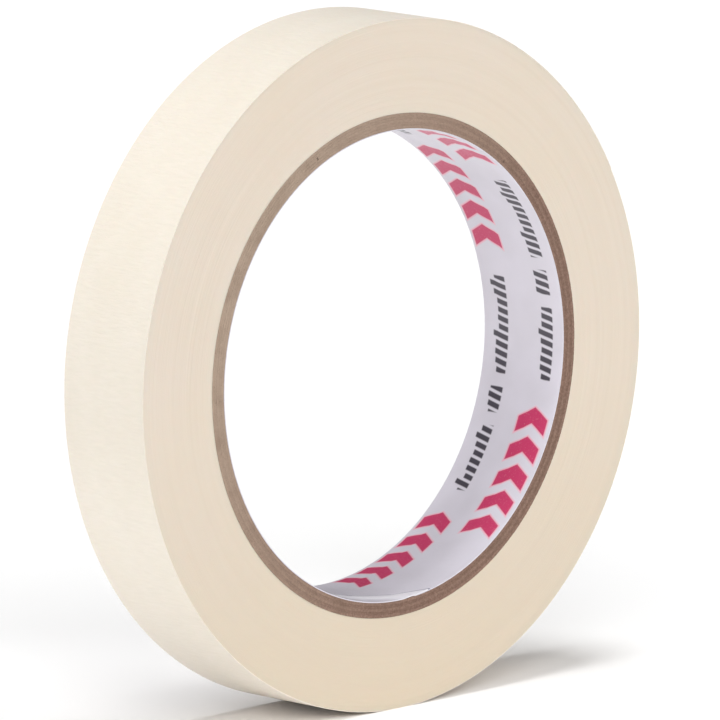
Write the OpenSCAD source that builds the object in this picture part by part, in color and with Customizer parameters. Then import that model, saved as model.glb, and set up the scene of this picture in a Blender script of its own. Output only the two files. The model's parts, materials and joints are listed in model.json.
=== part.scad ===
// Roll of masking tape, standing on its rim.
// The origin is the centre of the bore, the roll's axis is Y and +Z is up.
// Angles are turned round the axis from +X, so 90 is the top of the roll.
// The printed liner and the paperboard plies make the core. The tape is one
// strip: the winding, its last turn, and the free end, which can be lifted.

/* [Core] */
// Radius of the bore, 38.1 for a 3 inch core
bore_r = 38.1; // [30:0.1:42]
// Thickness of the printed paper that lines the bore
liner_t = 0.15; // [0.05:0.05:0.3]
// Thickness of one paperboard ply
ply_t = 0.5; // [0.3:0.05:0.6]
// Number of paperboard plies in the core's wall
ply_count = 5; // [1:1:8]
// Slope of the spiral seams, from the direction round the core
seam_slope = 27.5; // [25:0.5:60]
// Gap between the two edges of a ply along its seam
seam_gap = 0.2; // [0.05:0.05:0.5]
// Angle at which the liner's seam crosses the middle of the width
seam_at = -105; // [-180:1:180]
// Angle between the seam of one ply and that of the next
seam_stagger = 65; // [0:5:180]

/* [Tape] */
// Width of the tape and of its core, along the axis
tape_w = 18; // [9:1:25]
// Thickness of the tape, with its adhesive
tape_t = 0.14; // [0.1:0.01:0.3]
// Radius of the roll at the cut end of the tape
roll_r = 56; // [50:0.5:70]
// Depth to which the soft rim is pressed flat where the roll stands on it
rest_flat = 0.05; // [0.02:0.01:0.08]

/* [Free end] */
// Angle at which the tape's cut end lies
end_at = 28; // [0:1:45]
// Number of stretches that the free end is divided into where it bends
end_count = 8; // [2:1:10]
// Angle of the roll that one stretch covers
end_step = 5.25; // [3:0.25:8]
// Gap between neighbouring stretches
end_gap = 0.04; // [0.02:0.01:0.1]
// Clearance between the free end and the turn beneath it
end_clearance = 0.03; // [0.01:0.01:0.05]

/* [Hidden] */
$fn = 180;

core_r = bore_r + liner_t + ply_count * ply_t;
root_at = end_at + end_count * end_step;

// The tape's spiral is drawn as two half circles for each turn. Their centres
// lie on the line through the cut end, a quarter of the tape's thickness on
// either side of the axis, so the radius falls by one thickness a turn.
spiral_shift = tape_t / 4;
first_half_r = roll_r - spiral_shift;
second_half_r = roll_r - 3 * spiral_shift;
rest_z = rest_flat - second_half_r - spiral_shift * sin(end_at);

// Lays a flat ring, drawn round the origin, along the roll's axis.
module across_width() {
    rotate([90, 0, 0]) linear_extrude(tape_w, center = true) children();
}

module ring(inner_r, outer_r) {
    difference() {
        circle(outer_r);
        circle(inner_r);
    }
}

// A thin slanted slab that stands in the core's wall, where a ply's edges meet.
module seam(at, wall_r) {
    slab_h = 1.2 * tape_w / sin(seam_slope);
    slab_d = wall_r;
    rotate([90, 0, 0]) rotate([0, 0, at]) rotate([seam_slope - 90, 0, 0])
        translate([wall_r / 2, -seam_gap / 2, -slab_h / 2])
            cube([slab_d, seam_gap, slab_h]);
}

module wound_ply(inner_r, thickness, at) {
    difference() {
        across_width() ring(inner_r, inner_r + thickness);
        seam(at, inner_r);
    }
}

module half_disc(r, shift, side) {
    rotate(end_at) intersection() {
        translate([shift, 0]) circle(r);
        translate([-2 * r, side > 0 ? 0 : -2 * r]) square([4 * r, 2 * r]);
    }
}

// The outline of the winding, whose radius is end_r just past the cut end.
module spiral_disc(end_r) {
    half_disc(end_r - spiral_shift, spiral_shift, 1);
    half_disc(end_r - 3 * spiral_shift, -spiral_shift, -1);
}

// The sector between two angles, as the free end's own centre sees it.
module sector(from, to) {
    reach = 2 * roll_r;
    polygon([
        [0, 0],
        reach * [cos(from), sin(from)],
        reach * [cos((from + to) / 2), sin((from + to) / 2)],
        reach * [cos(to), sin(to)]
    ]);
}

module to_spiral_centre() {
    translate(spiral_shift * [cos(end_at), sin(end_at)]) children();
}

module printed_liner() {
    color("#d8d5de") wound_ply(bore_r, liner_t, seam_at);
}

module core_ply(i) {
    inner_r = bore_r + liner_t + (i - 1) * ply_t;
    color(i % 2 == 0 ? "#a08a74" : "#8f7a66")
        wound_ply(inner_r, ply_t, seam_at + i * seam_stagger);
}

module tape_winding() {
    color("#e9dcc9") across_width() difference() {
        spiral_disc(roll_r - tape_t);
        circle(core_r);
    }
}

module tape_last_turn() {
    color("#f1e8da") across_width() difference() {
        spiral_disc(roll_r);
        spiral_disc(roll_r - tape_t);
        to_spiral_centre() sector(end_at, root_at);
        translate([-roll_r, rest_z - roll_r]) square([2 * roll_r, roll_r]);
    }
}

// The stretches are numbered from the root to the cut end.
module tape_end(i) {
    gap_angle = end_gap / first_half_r * 180 / PI;
    high = root_at - (i - 1) * end_step - gap_angle / 2;
    low = root_at - i * end_step + (i < end_count ? gap_angle / 2 : 0);
    color(i % 2 == 0 ? "#efe2d0" : "#f5ecdf")
        across_width() to_spiral_centre() intersection() {
            ring(first_half_r - tape_t + end_clearance, first_half_r);
            sector(low, high);
        }
}

printed_liner();
for (i = [1:ply_count])
    core_ply(i);
tape_winding();
tape_last_turn();
for (i = [1:end_count])
    tape_end(i);
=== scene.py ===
"""The looks of a roll of masking tape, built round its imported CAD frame.

Lengths are in metres, angles in radians. The roll's axis is Y and the origin is the centre of
its bore. An angle round the roll is turned from +X towards +Z. The tape's own angle, called
phi, starts at its cut end and grows as the strip runs back round the roll and under itself.
"""
import json
import math

import bmesh
import bpy
import numpy as np
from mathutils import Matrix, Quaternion, Vector


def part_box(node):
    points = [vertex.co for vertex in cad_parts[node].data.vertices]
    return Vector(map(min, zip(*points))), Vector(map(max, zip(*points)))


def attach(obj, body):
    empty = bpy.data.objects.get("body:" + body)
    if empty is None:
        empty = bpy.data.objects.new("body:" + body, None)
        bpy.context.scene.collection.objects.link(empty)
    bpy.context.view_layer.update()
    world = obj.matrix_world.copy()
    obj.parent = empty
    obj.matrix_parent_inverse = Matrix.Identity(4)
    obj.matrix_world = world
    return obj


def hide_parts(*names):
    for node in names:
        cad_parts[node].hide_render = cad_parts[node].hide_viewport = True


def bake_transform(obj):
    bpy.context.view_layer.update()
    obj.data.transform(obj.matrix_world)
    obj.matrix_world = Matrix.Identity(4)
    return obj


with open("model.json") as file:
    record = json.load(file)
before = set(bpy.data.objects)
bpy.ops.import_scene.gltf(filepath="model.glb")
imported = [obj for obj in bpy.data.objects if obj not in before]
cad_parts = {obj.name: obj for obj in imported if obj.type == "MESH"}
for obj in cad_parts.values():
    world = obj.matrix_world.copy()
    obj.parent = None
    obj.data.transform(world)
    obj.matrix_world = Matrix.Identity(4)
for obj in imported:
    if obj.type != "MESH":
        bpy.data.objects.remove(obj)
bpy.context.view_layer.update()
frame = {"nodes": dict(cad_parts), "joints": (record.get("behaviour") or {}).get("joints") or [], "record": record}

MM = 0.001
TURN = 2 * math.pi


# ---------------------------------------------------------------- sizes from the frame

def radius_of(node):
    low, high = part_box(node)
    return (high.x - low.x) / 2


def angle_of(point):
    return math.atan2(point[2], point[0])


record = frame["record"]
mounts = {m["name"]: m for m in record["mounts"]}
hinges = [j for j in frame["joints"] if j["type"] == "hinge"]
hinges.sort(key=lambda j: -angle_of(j["pos_m"]))
PLIES = sorted(n for n in frame["nodes"] if n.startswith("core_ply_"))

BORE_R = mounts["core_bore"]["dims"]["r_mm"] * MM
HALF_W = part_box("tape_winding")[1].y
FLOOR_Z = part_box("tape_last_turn")[0].z
CORE_R = radius_of(PLIES[-1])
LINER_T = radius_of("printed_liner") - BORE_R
TAPE_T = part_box("tape_last_turn")[1].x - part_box("tape_winding")[1].x

STEP = angle_of(hinges[0]["pos_m"]) - angle_of(hinges[1]["pos_m"])
ROOT_PHI = STEP * len(hinges)
END_AT = angle_of(hinges[0]["pos_m"]) - ROOT_PHI
ROLL_R = math.hypot(hinges[0]["pos_m"][0], hinges[0]["pos_m"][2]) + TAPE_T / 4 * (1 - math.cos(ROOT_PHI))

# The liner and the plies are wound in a spiral of this slope to the direction round the core.
SEAM_SLOPE = math.radians(27.5)
SEAM_TWIST = -1 / (math.tan(SEAM_SLOPE) * BORE_R)
LINER_SEAM = math.radians(-105)
PLY_STAGGER = math.radians(65)
# The liner's last stretch is glued over its first one, and stands a little off it.
LAP_LIFT = 0.02 * MM


# ---------------------------------------------------------------- noise and meshes

def lattice(x, y, seed, columns=2048, rows=64):
    """Smooth random heights from -1 to 1, one for each cell of a grid, at the points x, y."""
    heights = np.random.default_rng(seed).uniform(-1, 1, (columns, rows))
    i, j = np.floor(x).astype(int), np.floor(y).astype(int)
    u, v = x - i, y - j
    u, v = u * u * (3 - 2 * u), v * v * (3 - 2 * v)
    i0, i1, j0, j1 = i % columns, (i + 1) % columns, j % rows, (j + 1) % rows
    low = heights[i0, j0] * (1 - u) + heights[i1, j0] * u
    high = heights[i0, j1] * (1 - u) + heights[i1, j1] * u
    return low * (1 - v) + high * v


def round_noise(angle, y, per_turn, y_cell, seed):
    """Noise round the roll that meets itself after one turn."""
    return lattice(np.mod(angle / TURN, 1) * per_turn, y / y_cell, seed, columns=per_turn)


def around(angle, r, y):
    return np.stack(np.broadcast_arrays(r * np.cos(angle), y, r * np.sin(angle)), -1)


def swept(name, sections, materials, closed=False, wrap=None, slot_of=None):
    """A mesh through closed loops of points, sections[station, point]. wrap gives each point's
    place on the flat strip, in millimetres, and slot_of each face's material by its column."""
    stations, points = sections.shape[:2]
    index = np.arange(stations * points).reshape(stations, points)
    here = index if closed else index[:-1]
    there = np.roll(index, -1, 0) if closed else index[1:]
    quads = np.stack([here, np.roll(here, -1, 1), np.roll(there, -1, 1), there], -1).reshape(-1, 4)
    faces = quads.tolist()
    slots = np.tile(np.zeros(points, int) if slot_of is None else np.array(slot_of), len(here)).tolist()
    if not closed:
        faces += [index[0][::-1].tolist(), index[-1].tolist()]
        slots += [0, 0]
    mesh = bpy.data.meshes.new(name)
    mesh.from_pydata(sections.reshape(-1, 3).tolist(), [], faces)
    mesh.polygons.foreach_set("material_index", slots)
    mesh.polygons.foreach_set("use_smooth", [True] * len(faces))
    for material in materials:
        mesh.materials.append(material)
    if wrap is not None:
        corners = np.zeros(len(mesh.loops), int)
        mesh.loops.foreach_get("vertex_index", corners)
        layer = mesh.uv_layers.new(name="wrap")
        layer.data.foreach_set("uv", wrap.reshape(-1, 2)[corners].astype(np.float32).ravel())
    tidy = bmesh.new()
    tidy.from_mesh(mesh)
    bmesh.ops.recalc_face_normals(tidy, faces=tidy.faces)
    tidy.to_mesh(mesh)
    tidy.free()
    mesh.set_sharp_from_angle(angle=math.radians(40))
    piece = bpy.data.objects.new(name, mesh)
    bpy.context.collection.objects.link(piece)
    return piece


# ---------------------------------------------------------------- materials

class Paint:
    """A material's nodes. Each method adds one node and gives back its output."""

    def __init__(self, name, **sockets):
        self.material = bpy.data.materials.new(name)
        self.material.use_nodes = True
        self.tree = self.material.node_tree
        self.shader = self.tree.nodes["Principled BSDF"]
        for key, value in sockets.items():
            self.shader.inputs[key.replace("_", " ")].default_value = value

    def node(self, kind, *inputs, **settings):
        made = self.tree.nodes.new("ShaderNode" + kind)
        for key, value in settings.items():
            setattr(made, key, value)
        for place, value in enumerate(inputs):
            self.put(made.inputs[place], value)
        return made

    def put(self, socket, value):
        if isinstance(value, bpy.types.NodeSocket):
            self.tree.links.new(value, socket)
        elif value is not None:
            socket.default_value = value

    def math(self, operation, *inputs):
        return self.node("Math", *inputs, operation=operation).outputs[0]

    def scaled(self, vector, scale):
        return self.node("VectorMath", vector, scale, operation="MULTIPLY").outputs[0]

    def noise(self, vector, scale, detail=2.0, roughness=0.5):
        made = self.node("TexNoise", vector)
        made.inputs["Scale"].default_value = scale
        made.inputs["Detail"].default_value = detail
        made.inputs["Roughness"].default_value = roughness
        return made.outputs["Fac"]

    def span(self, value, low, high, to_low=0.0, to_high=1.0):
        return self.node("MapRange", value, low, high, to_low, to_high).outputs[0]

    def mix(self, share, first, second):
        made = self.node("Mix", data_type="RGBA")
        self.put(made.inputs["Factor"], share)
        self.put(made.inputs["A"], first if isinstance(first, bpy.types.NodeSocket) else (*first, 1))
        self.put(made.inputs["B"], second if isinstance(second, bpy.types.NodeSocket) else (*second, 1))
        return made.outputs["Result"]

    def place(self):
        """The point on the object, in millimetres."""
        return self.scaled(self.node("TexCoord").outputs["Object"], (1000, 1000, 1000))

    def strip(self):
        """The point on the flat strip, in millimetres."""
        return self.node("UVMap", uv_map="wrap").outputs[0]

    def parts(self, vector):
        return self.node("SeparateXYZ", vector).outputs

    def bump(self, height, distance, under=None):
        made = self.node("Bump")
        made.inputs["Distance"].default_value = distance
        self.put(made.inputs["Height"], height)
        self.put(made.inputs["Normal"], under)
        return made.outputs[0]

    def finish(self, colour=None, roughness=None, normal=None):
        self.put(self.shader.inputs["Base Color"], colour)
        self.put(self.shader.inputs["Roughness"], roughness)
        self.put(self.shader.inputs["Normal"], normal)
        return self.material


def crepe_paper():
    paint = Paint("crepe_paper", Specular_IOR_Level=0.5, Sheen_Weight=0.1, Sheen_Roughness=0.5,
                  Subsurface_Weight=0.08, Subsurface_Scale=0.002)
    strip = paint.strip()
    ribs = paint.noise(paint.scaled(strip, (1.9, 0.35, 1)), 1.0, 3.0, 0.6)
    fibres = paint.noise(paint.scaled(strip, (5.0, 2.2, 1)), 1.0, 4.0, 0.65)
    clouds = paint.noise(paint.scaled(strip, (0.05, 0.11, 1)), 1.0, 2.0)
    tone = paint.mix(paint.span(clouds, 0.3, 0.7), (0.865, 0.76, 0.65), (0.89, 0.79, 0.685))
    tone = paint.mix(paint.span(ribs, 0.35, 0.7, 0.0, 0.22), tone, (0.74, 0.65, 0.535))
    rough = paint.span(fibres, 0.3, 0.7, 0.42, 0.6)
    height = paint.math("ADD", ribs, paint.math("MULTIPLY", fibres, 0.35))
    return paint.finish(tone, rough, paint.bump(height, 0.00009))


def adhesive():
    paint = Paint("adhesive_side", Specular_IOR_Level=0.55, Subsurface_Weight=0.1, Subsurface_Scale=0.002)
    strip = paint.strip()
    ribs = paint.noise(paint.scaled(strip, (1.7, 0.4, 1)), 1.0, 3.0)
    blobs = paint.noise(paint.scaled(strip, (1.0, 1.0, 1)), 1.3, 3.0)
    tone = paint.mix(blobs, (0.72, 0.61, 0.44), (0.8, 0.7, 0.54))
    rough = paint.span(blobs, 0.35, 0.65, 0.16, 0.34)
    return paint.finish(tone, rough, paint.bump(ribs, 0.00003))


def wound_edges():
    """The cut edges of the turns: fine spiral lines, bands where the winding was tighter, and painted shade
    towards the bottom.
    """
    paint = Paint("wound_edges", Specular_IOR_Level=0.3, Subsurface_Weight=0.1, Subsurface_Scale=0.003)
    x, _, z = paint.parts(paint.place())
    r = paint.math("SQRT", paint.math("ADD", paint.math("MULTIPLY", x, x), paint.math("MULTIPLY", z, z)))
    angle = paint.math("ARCTAN2", z, x)
    turns = paint.math("ADD", paint.math("DIVIDE", r, TAPE_T / MM), paint.math("DIVIDE", angle, TURN))
    line = paint.math("SINE", paint.math("MULTIPLY", turns, TURN))
    drift = paint.node("CombineXYZ", paint.math("DIVIDE", x, r), paint.math("DIVIDE", z, r), r).outputs[0]
    bands = paint.noise(paint.scaled(drift, (0.35, 0.35, 1.1)), 1.0, 3.0, 0.6)
    fine = paint.noise(paint.scaled(drift, (1.5, 1.5, 5.0)), 1.0, 2.0)
    clouds = paint.noise(paint.place(), 0.045, 2.0)
    tone = paint.mix(paint.span(clouds, 0.35, 0.65), (0.765, 0.665, 0.55), (0.765, 0.67, 0.57))
    # Painted shade: the faces turn darker and yellower towards the bottom of the roll.
    tone = paint.mix(paint.span(z, -5.0, -55.0), tone, (0.69, 0.59, 0.455))
    tone = paint.mix(paint.span(bands, 0.35, 0.75, 0.0, 0.3), tone, (0.70, 0.595, 0.475))
    tone = paint.mix(paint.span(line, 0.2, 1.0, 0.0, 0.12), tone, (0.6, 0.48, 0.35))
    rough = paint.span(fine, 0.3, 0.7, 0.45, 0.62)
    height = paint.math("ADD", paint.math("MULTIPLY", line, 0.12), paint.math("ADD", bands, fine))
    return paint.finish(tone, rough, paint.bump(height, 0.00004))


# The darkest and the lightest pulp of the two kinds of ply.
PULP_TONES = (((0.20, 0.12, 0.09), (0.36, 0.235, 0.18)), ((0.165, 0.095, 0.07), (0.31, 0.195, 0.15)))


def paperboard(shade):
    paint = Paint(f"paperboard_{shade}", Specular_IOR_Level=0.2)
    place = paint.place()
    pulp = paint.noise(place, 2.6, 5.0, 0.7)
    fibres = paint.noise(paint.scaled(place, (1.2, 6.0, 1.2)), 1.5, 4.0, 0.7)
    specks = paint.noise(place, 6.5, 2.0)
    dark, light = PULP_TONES[shade]
    tone = paint.mix(paint.span(pulp, 0.3, 0.7), dark, light)
    x, _, z = paint.parts(place)
    # Painted light: the paperboard is paler towards the upper left of the core, where the light falls, and darker
    # towards the lower right.
    towards = paint.math("SUBTRACT", paint.math("MULTIPLY", z, 0.5), paint.math("MULTIPLY", x, 0.866))
    tone = paint.mix(paint.span(towards, -15.0, 45.0, 0.0, 0.85), tone, (0.50, 0.39, 0.30))
    damp = paint.noise(paint.scaled(place, (1, 0.3, 1)), 0.22, 3.0, 0.6)
    tone = paint.mix(paint.span(damp, 0.45, 0.75, 0.0, 0.35), tone, (0.19, 0.125, 0.09))
    tone = paint.mix(paint.span(specks, 0.62, 0.74, 0.0, 0.6), tone, (0.13, 0.085, 0.06))
    rough = paint.span(pulp, 0.2, 0.8, 0.8, 0.95)
    height = paint.math("ADD", pulp, paint.math("MULTIPLY", fibres, 0.6))
    return paint.finish(tone, rough, paint.bump(height, 0.00016))


# The liner's print, measured along the bore in degrees and across it from the front edge in mm.
SEAM_END = math.degrees(LINER_SEAM - SEAM_TWIST * HALF_W + TURN)
PRINT_PERIOD = 106.8
PRINT_REPEATS = 3
ROW_STARTS = (-55.8, -87.0)
ARROW_BANDS = ((0.7, 8.0), (10.9, 17.6))
TICK_BANDS = ((2.3, 5.9), (12.5, 16.0))
ARROW_COUNT, ARROW_PITCH, ARROW_LEAN = 5, 4.95, 0.55
ARROW_STROKE = (0.4, 3.1)
ARROW_OFFSET = 0.5
ARROW_INSET = 0.35
INK_SPREAD = 0.3
CRIMSON, PINK, INK_GREY = (0.60, 0.05, 0.145), (0.86, 0.52, 0.60), (0.07, 0.062, 0.08)
TICK_START, TICK_LENGTH, TICK_PITCH = 29.5, 37.0, 1.42
TICK_STROKE = (0.25, 1.15)
TICK_GROUPS = ((0.0, 12.0), (14.2, 18.5), (20.7, TICK_LENGTH))
# A painted highlight on the liner before the seam, and the dark seam line, which is the cut edge with painted
# shadow from the lapped edge, in mm from the seam.
SEAM_HIGHLIGHT_FADE = (-9.0, -4.0)
SEAM_LINE = (-0.42, -0.25)


def bore_mm(degrees):
    return math.radians(degrees) * BORE_R / MM


def boxed(paint, value, low, high, soft=0.1):
    """1 between low and high and 0 outside, with edges as soft as ink on paper."""
    rise = paint.span(value, low - soft, low + soft)
    fall = paint.span(value, high - soft, high + soft, 1.0, 0.0)
    return paint.math("MULTIPLY", rise, fall)


def both(paint, *masks):
    product = masks[0]
    for mask in masks[1:]:
        product = paint.math("MULTIPLY", product, mask)
    return product


def arrows(paint, tone, from_start, across, band, worn):
    """A block of crimson chevrons, with a thin pink edge where the ink has spread."""
    low, high = band
    lean = paint.math("ABSOLUTE", paint.math("SUBTRACT", across, (low + high) / 2))
    lean = paint.math("SUBTRACT", lean, (high - low) / 2)
    pointed = paint.math("ADD", from_start, paint.math("MULTIPLY", lean, ARROW_LEAN))
    inside = boxed(paint, pointed, -ARROW_OFFSET, ARROW_COUNT * ARROW_PITCH - ARROW_OFFSET)
    in_arrow = paint.math("FLOORED_MODULO", pointed, ARROW_PITCH)
    for spread, ink in ((INK_SPREAD, PINK), (0.0, CRIMSON)):
        stroke = boxed(paint, in_arrow, ARROW_STROKE[0] - spread, ARROW_STROKE[1] + spread)
        height = boxed(paint, across, low + ARROW_INSET - spread, high - ARROW_INSET + spread)
        tone = paint.mix(both(paint, stroke, height, inside, worn), tone, ink)
    return tone


def ticks(paint, tone, from_start, across, band):
    """A row of small slanted grey ticks of uneven height, in three groups."""
    low, high = band
    slanted = paint.math("SUBTRACT", from_start, paint.math("MULTIPLY", across, 0.22))
    count = paint.math("FLOOR", paint.math("DIVIDE", slanted, TICK_PITCH))
    chance = paint.node("TexWhiteNoise", None, count, noise_dimensions="1D").outputs["Value"]
    in_tick = paint.math("FLOORED_MODULO", slanted, TICK_PITCH)
    stroke = boxed(paint, in_tick, *TICK_STROKE)
    top = paint.span(chance, 0.0, 1.0, high - 1.5, high)
    in_row = boxed(paint, across, low, high)
    under_top = paint.span(paint.math("SUBTRACT", top, across), -0.1, 0.1)
    height = both(paint, in_row, under_top)
    for start, end in TICK_GROUPS:
        inside = boxed(paint, from_start, TICK_START + start, TICK_START + end)
        tone = paint.mix(both(paint, stroke, height, inside), tone, INK_GREY)
    return tone


def liner_paper():
    paint = Paint("liner_paper", Specular_IOR_Level=0.5)
    along, across, _ = paint.parts(paint.strip())
    clouds = paint.noise(paint.place(), 0.12, 2.0)
    tone = paint.mix(paint.span(clouds, 0.3, 0.7), (0.69, 0.665, 0.725), (0.745, 0.72, 0.79))
    from_seam = paint.math("SUBTRACT", along, paint.math("MULTIPLY", across, SEAM_TWIST * BORE_R))
    from_seam = paint.math("SUBTRACT", from_seam, bore_mm(SEAM_END))
    # Painted highlight: the liner turns paler over the last few millimetres before the seam.
    seam_highlight = paint.span(from_seam, *SEAM_HIGHLIGHT_FADE)
    tone = paint.mix(seam_highlight, tone, (0.87, 0.855, 0.90))
    worn = paint.span(paint.noise(paint.place(), 3.2, 3.0, 0.7), 0.25, 0.42, 0.7, 1.0)
    for start, arrow_band, tick_band in zip(ROW_STARTS, ARROW_BANDS, TICK_BANDS):
        from_first = paint.math("SUBTRACT", along, bore_mm(start))
        printed = boxed(paint, from_first, 0.0, PRINT_REPEATS * bore_mm(PRINT_PERIOD))
        repeat = paint.math("FLOORED_MODULO", from_first, bore_mm(PRINT_PERIOD))
        marks = arrows(paint, tone, repeat, across, arrow_band, worn)
        marks = ticks(paint, marks, repeat, across, tick_band)
        tone = paint.mix(printed, tone, marks)
    # The dark seam line is the cut edge of the lapped paper, darkened further by painted shadow from that edge.
    tone = paint.mix(paint.span(from_seam, *SEAM_LINE), tone, (0.19, 0.185, 0.26))
    fibres = paint.noise(paint.place(), 1.4, 3.0)
    rough = paint.span(fibres, 0.3, 0.7, 0.3, 0.42)
    return paint.finish(tone, rough, paint.bump(fibres, 0.00002))


# ---------------------------------------------------------------- the core

STRIP_STATIONS = 1300
ACROSS_ROWS, EDGE_ROWS = 7, 5
LINER_ROUNDING, LINER_FUZZ = 0.01 * MM, 0.02 * MM
LINER_LAP = math.radians(5)
PLY_ROUNDING, PLY_FUZZ = 0.05 * MM, 0.06 * MM
PLY_HALF_GAP = 0.15 * MM
LINER_SEED, FIRST_PLY_SEED = 11, 20


def spiral_strip(name, inner_r, thickness, seam_at, gap, rounding, rough_edge, seed, materials, lap=None):
    """A strip wound once round the core, whose ends meet along a slanted seam. lap lets the last
    stretch of a thin strip climb onto the first one."""
    first, last = (gap, TURN - gap) if lap is None else (-lap, TURN)
    along = np.linspace(first, last, STRIP_STATIONS)[:, None]
    outer_r = inner_r + thickness
    depth = np.linspace(0, 1, EDGE_ROWS)
    across = np.linspace(-1, 1, ACROSS_ROWS)
    edge = np.ones(EDGE_ROWS - 2)
    rows = np.concatenate([across, edge, across[::-1], -edge])
    radial = np.concatenate([np.zeros(ACROSS_ROWS), depth[1:-1], np.ones(ACROSS_ROWS), depth[-2:0:-1]])
    y = rows[None] * HALF_W
    angle = seam_at + SEAM_TWIST * y + along
    r = inner_r + radial[None] * (outer_r - inner_r) + 0 * along
    side = (np.abs(rows) > 0.999)[None]
    corner = side & ((radial < 0.001) | (radial > 0.999))[None]
    fuzz = round_noise(angle, r * 0 + radial[None], 900, 0.24, seed) * rough_edge
    outward = np.sign(rows)[None]
    y = y - outward * np.where(side, np.abs(fuzz), 0) - outward * np.where(corner, rounding, 0)
    if lap is not None:
        climb = np.clip((along - (TURN - 2 * lap)) / lap, 0, 1)
        r = r - (thickness + LAP_LIFT) * climb * climb * (3 - 2 * climb)
    sections = around(angle, r, y)
    unrolled = np.broadcast_to(angle * BORE_R / MM, r.shape)
    wrap = np.stack([unrolled, np.broadcast_to((HALF_W + y) / MM, r.shape)], -1)
    return swept(name, sections, materials, wrap=wrap)


def make_core():
    liner = spiral_strip("printed_core_liner", BORE_R, LINER_T, LINER_SEAM, 0.0, LINER_ROUNDING, LINER_FUZZ,
                         LINER_SEED, [liner_paper()], lap=LINER_LAP)
    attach(liner, "root")
    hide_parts("printed_liner")
    boards = [paperboard(0), paperboard(1)]
    thickness = (CORE_R - BORE_R - LINER_T) / len(PLIES)
    for place, node in enumerate(PLIES):
        inner_r = BORE_R + LINER_T + place * thickness
        seam_at = LINER_SEAM + (place + 1) * PLY_STAGGER
        gap = PLY_HALF_GAP / inner_r
        ply = spiral_strip(f"paperboard_ply_{place + 1}", inner_r, thickness, seam_at, gap,
                           PLY_ROUNDING, PLY_FUZZ, FIRST_PLY_SEED + place, [boards[place % 2]])
        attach(ply, "root")
        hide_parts(node)


# ---------------------------------------------------------------- the tape

TAPE_ROWS = 15
STATIONS_PER_DEGREE, LEAST_STATIONS = 8, 24
# The paper lies this far inside its outline. The highest crinkles still stand out past it, by up to 0.02 mm.
UNDER_OUTLINE = 0.012 * MM
EDGE_SWAY, EDGE_ROUNDING = 0.02 * MM, 0.015 * MM
# The free end lies this far clear of the turn beneath it.
END_CLEARANCE = 0.03 * MM
WINDING_STATIONS, SIDE_ROWS, TOP_ROWS = 480, 84, 9
UNDER_STRIP_GAP, OVER_CORE_GAP = 0.01 * MM, 0.02 * MM
SIDE_INSET, INNER_BEVEL = 0.03 * MM, 0.08 * MM
# Keeps the winding's first and last stations off the step itself, where the radius jumps.
STEP_MARGIN = 1e-5
# The back face takes its relief from another part of the noise than the front.
BACK_SHIFT_ANGLE, BACK_SHIFT_R = 1.7, 3 * MM


def strip_radius(phi):
    """The outer radius of the strip at phi: it falls by one thickness a turn."""
    turn, part = np.floor(phi / TURN), np.mod(phi, TURN)
    bend = TAPE_T / 4 * np.cos(part)
    first = ROLL_R - TAPE_T / 4 + bend
    second = ROLL_R - 3 * TAPE_T / 4 - bend
    return np.where(part < math.pi, first, second) - turn * TAPE_T


def crepe(phi, y):
    """The height of the paper's crosswise crinkles."""
    along, across = phi * ROLL_R / MM, y / MM
    ribs = lattice(along / 0.42, across / 2.6 + 9, 31)
    finer = lattice(along / 0.21, across / 1.4 + 9, 32)
    slow = lattice(along / 9.0, across / 7.0 + 9, 33)
    return (ribs * 0.011 + finer * 0.005 + slow * 0.01) * MM


def tape_strip(name, phi_from, phi_to, stations, gap_under, materials):
    """A stretch of the tape with a crinkled outer face, square edges and a smooth under side."""
    phi = np.linspace(phi_from, phi_to, stations)[:, None]
    across = np.linspace(-1, 1, TAPE_ROWS)
    upper = np.concatenate([across, [1.0, -1.0]])
    is_top = np.concatenate([np.ones(TAPE_ROWS, bool), [False, False]])
    y = np.broadcast_to(upper[None] * HALF_W, (stations, len(upper)))
    sway = lattice(phi * ROLL_R / MM / 14.0, phi * 0 + 0.5, 34) * EDGE_SWAY
    y = y + sway * 0.5 - np.sign(upper)[None] * np.where(np.abs(upper) > 0.999, EDGE_ROUNDING, 0)
    top = strip_radius(phi) + crepe(phi + 0 * y, y) - UNDER_OUTLINE
    under = strip_radius(phi) - TAPE_T + gap_under + 0 * y
    r = np.where(is_top[None], top, under)
    angle = END_AT + phi
    points = around(angle + 0 * y, r, y)
    points[..., 2] = np.maximum(points[..., 2], FLOOR_Z)
    wrap = np.stack([np.broadcast_to(phi * ROLL_R / MM, y.shape), y / MM], -1)
    slot_of = [0] * TAPE_ROWS + [1, 0]
    return swept(name, points, materials, wrap=wrap, slot_of=slot_of)


def side_relief(angle, r):
    """How far the turns' edges stand out of the flat face: bands wound tighter or looser."""
    depth = (r - CORE_R) / MM
    wide = round_noise(angle, depth, 5, 2.3, 41) * 0.030
    middle = round_noise(angle, depth, 9, 0.8, 42) * 0.016
    narrow = round_noise(angle, depth, 24, 0.36, 43) * 0.007
    return (wide + middle + narrow) * MM


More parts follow.
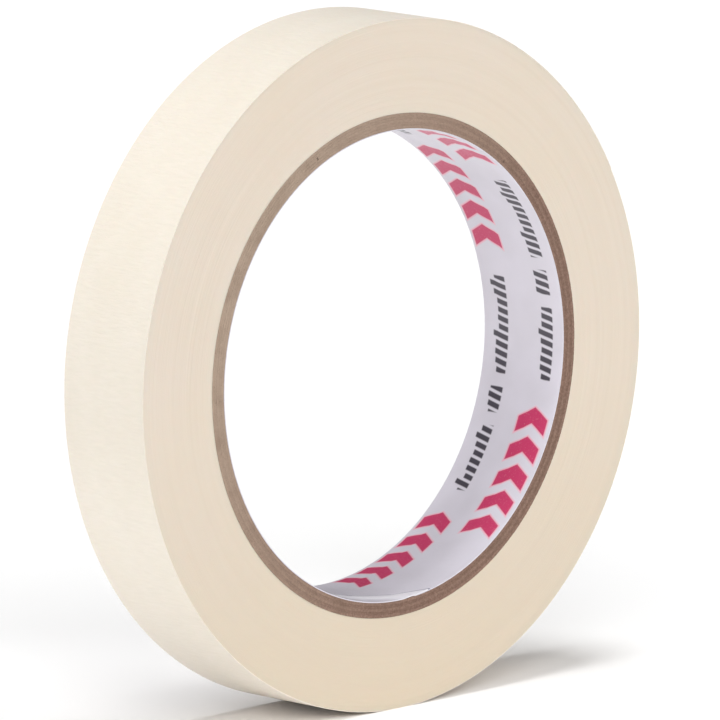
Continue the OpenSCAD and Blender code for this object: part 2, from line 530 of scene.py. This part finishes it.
def make_winding(material):
    """Everything under the last turn, as one solid whose outer face steps down under the strip."""
    phi = np.linspace(ROOT_PHI + STEP_MARGIN, ROOT_PHI + TURN - STEP_MARGIN, WINDING_STATIONS)[:, None]
    angle = END_AT + phi
    outer = strip_radius(phi) - TAPE_T - UNDER_STRIP_GAP
    share = np.linspace(0, 1, SIDE_ROWS)[None]
    r_side = CORE_R + OVER_CORE_GAP + share * (outer - CORE_R - OVER_CORE_GAP)
    round_side = angle + 0 * r_side
    relief_front = side_relief(round_side, r_side)
    relief_back = side_relief(angle + BACK_SHIFT_ANGLE + 0 * r_side, r_side + BACK_SHIFT_R)
    bevel = np.where(share < 0.001, INNER_BEVEL, 0)
    front = around(round_side, r_side, -HALF_W + SIDE_INSET + relief_front + bevel)
    back = around(round_side, r_side, HALF_W - SIDE_INSET - relief_back - bevel)[:, ::-1]
    lane = np.linspace(-1, 1, TOP_ROWS + 2)[None, 1:-1] * HALF_W
    top = around(angle + 0 * lane, outer + 0 * lane, lane)
    sections = np.concatenate([front, top, back], 1)
    piece = swept("wound_tape", sections, [material], closed=True)
    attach(piece, "root")
    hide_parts("tape_winding")


def make_tape():
    paper, glue = crepe_paper(), adhesive()
    make_winding(wound_edges())
    per_radian = STATIONS_PER_DEGREE * 180 / math.pi
    last = tape_strip("last_turn", ROOT_PHI, ROOT_PHI + TURN, int(TURN * per_radian), 0, [paper, glue])
    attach(last, "root")
    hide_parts("tape_last_turn")
    for place in range(1, len(hinges) + 1):
        hinge_phi = ROOT_PHI - (place - 1) * STEP
        start = hinge_phi + (STEP / 2 if place > 1 else 0)
        middle = hinge_phi - STEP / 2
        end = middle if place < len(hinges) else 0.0
        stations = max(LEAST_STATIONS, int((start - end) * per_radian))
        piece = tape_strip(f"free_end_{place}", start, end, stations, END_CLEARANCE, [paper, glue])
        at = [around(END_AT + phi, strip_radius(phi), 0.0) for phi in (start, middle)]
        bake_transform(piece)
        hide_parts(f"tape_end_{place}")


# ---------------------------------------------------------------- floor, light and camera

FLOOR_HALF = 6.0


def make_floor():
    mesh = bpy.data.meshes.new("studio_floor")
    corners = [(x * FLOOR_HALF, y * FLOOR_HALF, FLOOR_Z) for x, y in ((-1, -1), (1, -1), (1, 1), (-1, 1))]
    mesh.from_pydata(corners, [], [(0, 1, 2, 3)])
    floor = bpy.data.objects.new("studio_floor", mesh)
    bpy.context.collection.objects.link(floor)
    paint = Paint("studio_white", Specular_IOR_Level=0.0, Roughness=1.0)
    mesh.materials.append(paint.finish((0.98, 0.98, 0.98, 1)))


def far_softbox(name, azimuth, elevation, spread, level):
    """A large far softbox. The azimuth is turned from the front face's own direction towards
    +X, and the spread is the angle that the box fills, all in degrees. A white card facing the
    box would shine with the given level."""
    a, e = math.radians(azimuth), math.radians(elevation)
    outward = Vector((math.sin(a) * math.cos(e), -math.cos(a) * math.cos(e), math.sin(e)))
    light = bpy.data.lights.new(name, "SUN")
    light.energy, light.angle = level * math.pi, math.radians(spread)
    holder = bpy.data.objects.new(name, light)
    holder.location = outward
    holder.rotation_mode = "QUATERNION"
    holder.rotation_quaternion = (-outward).to_track_quat("-Z", "Y")
    bpy.context.collection.objects.link(holder)


def make_light():
    world = bpy.data.worlds.new("studio")
    bpy.context.scene.world = world
    world.use_nodes = True
    sky = world.node_tree.nodes["Background"]
    sky.inputs["Color"].default_value = (1, 1, 1, 1)
    sky.inputs["Strength"].default_value = 0.12
    far_softbox("front_left_softbox", -38, 34, 30, 0.38)
    far_softbox("front_right_softbox", 18, 34, 30, 0.21)
    far_softbox("left_softbox", -80, 24, 36, 0.30)
    far_softbox("top_softbox", 0, 88, 22, 0.52)
    bpy.context.scene.view_settings.view_transform = "Standard"


# From a fit of the camera to the roll's outlines in the photo, with the roll's sizes held.
CAMERA_AZIMUTH = math.radians(-44.5)
CAMERA_ELEVATION = math.radians(10.0)
CAMERA_ROLL = math.radians(-0.35)
CAMERA_DISTANCE = 1.83
PIXELS_PER_MM = 6.23
FRAME_PIXELS = 720
SENSOR = 36.0
# The roll's centre sits this far right of and above the middle of the frame.
CENTRE_RIGHT, CENTRE_UP = -0.48 * MM, 0.10 * MM


def make_camera():
    data = bpy.data.cameras.new("camera")
    data.sensor_width = SENSOR
    data.lens = PIXELS_PER_MM / MM * CAMERA_DISTANCE / FRAME_PIXELS * SENSOR
    data.clip_start, data.clip_end = 0.1, 30
    camera = bpy.data.objects.new("camera", data)
    a, e = CAMERA_AZIMUTH, CAMERA_ELEVATION
    back = Vector((math.sin(a) * math.cos(e), -math.cos(a) * math.cos(e), math.sin(e)))
    right = Vector((math.cos(a), math.sin(a), 0))
    up = back.cross(right)
    aim = -right * CENTRE_RIGHT - up * CENTRE_UP
    camera.location = aim + back * CAMERA_DISTANCE
    camera.rotation_mode = "QUATERNION"
    level = (-back).to_track_quat("-Z", "Y")
    camera.rotation_quaternion = level @ Quaternion((0, 0, 1), CAMERA_ROLL)
    bpy.context.collection.objects.link(camera)
    bpy.context.scene.camera = camera


make_camera()
make_core()
make_tape()
make_floor()
make_light()
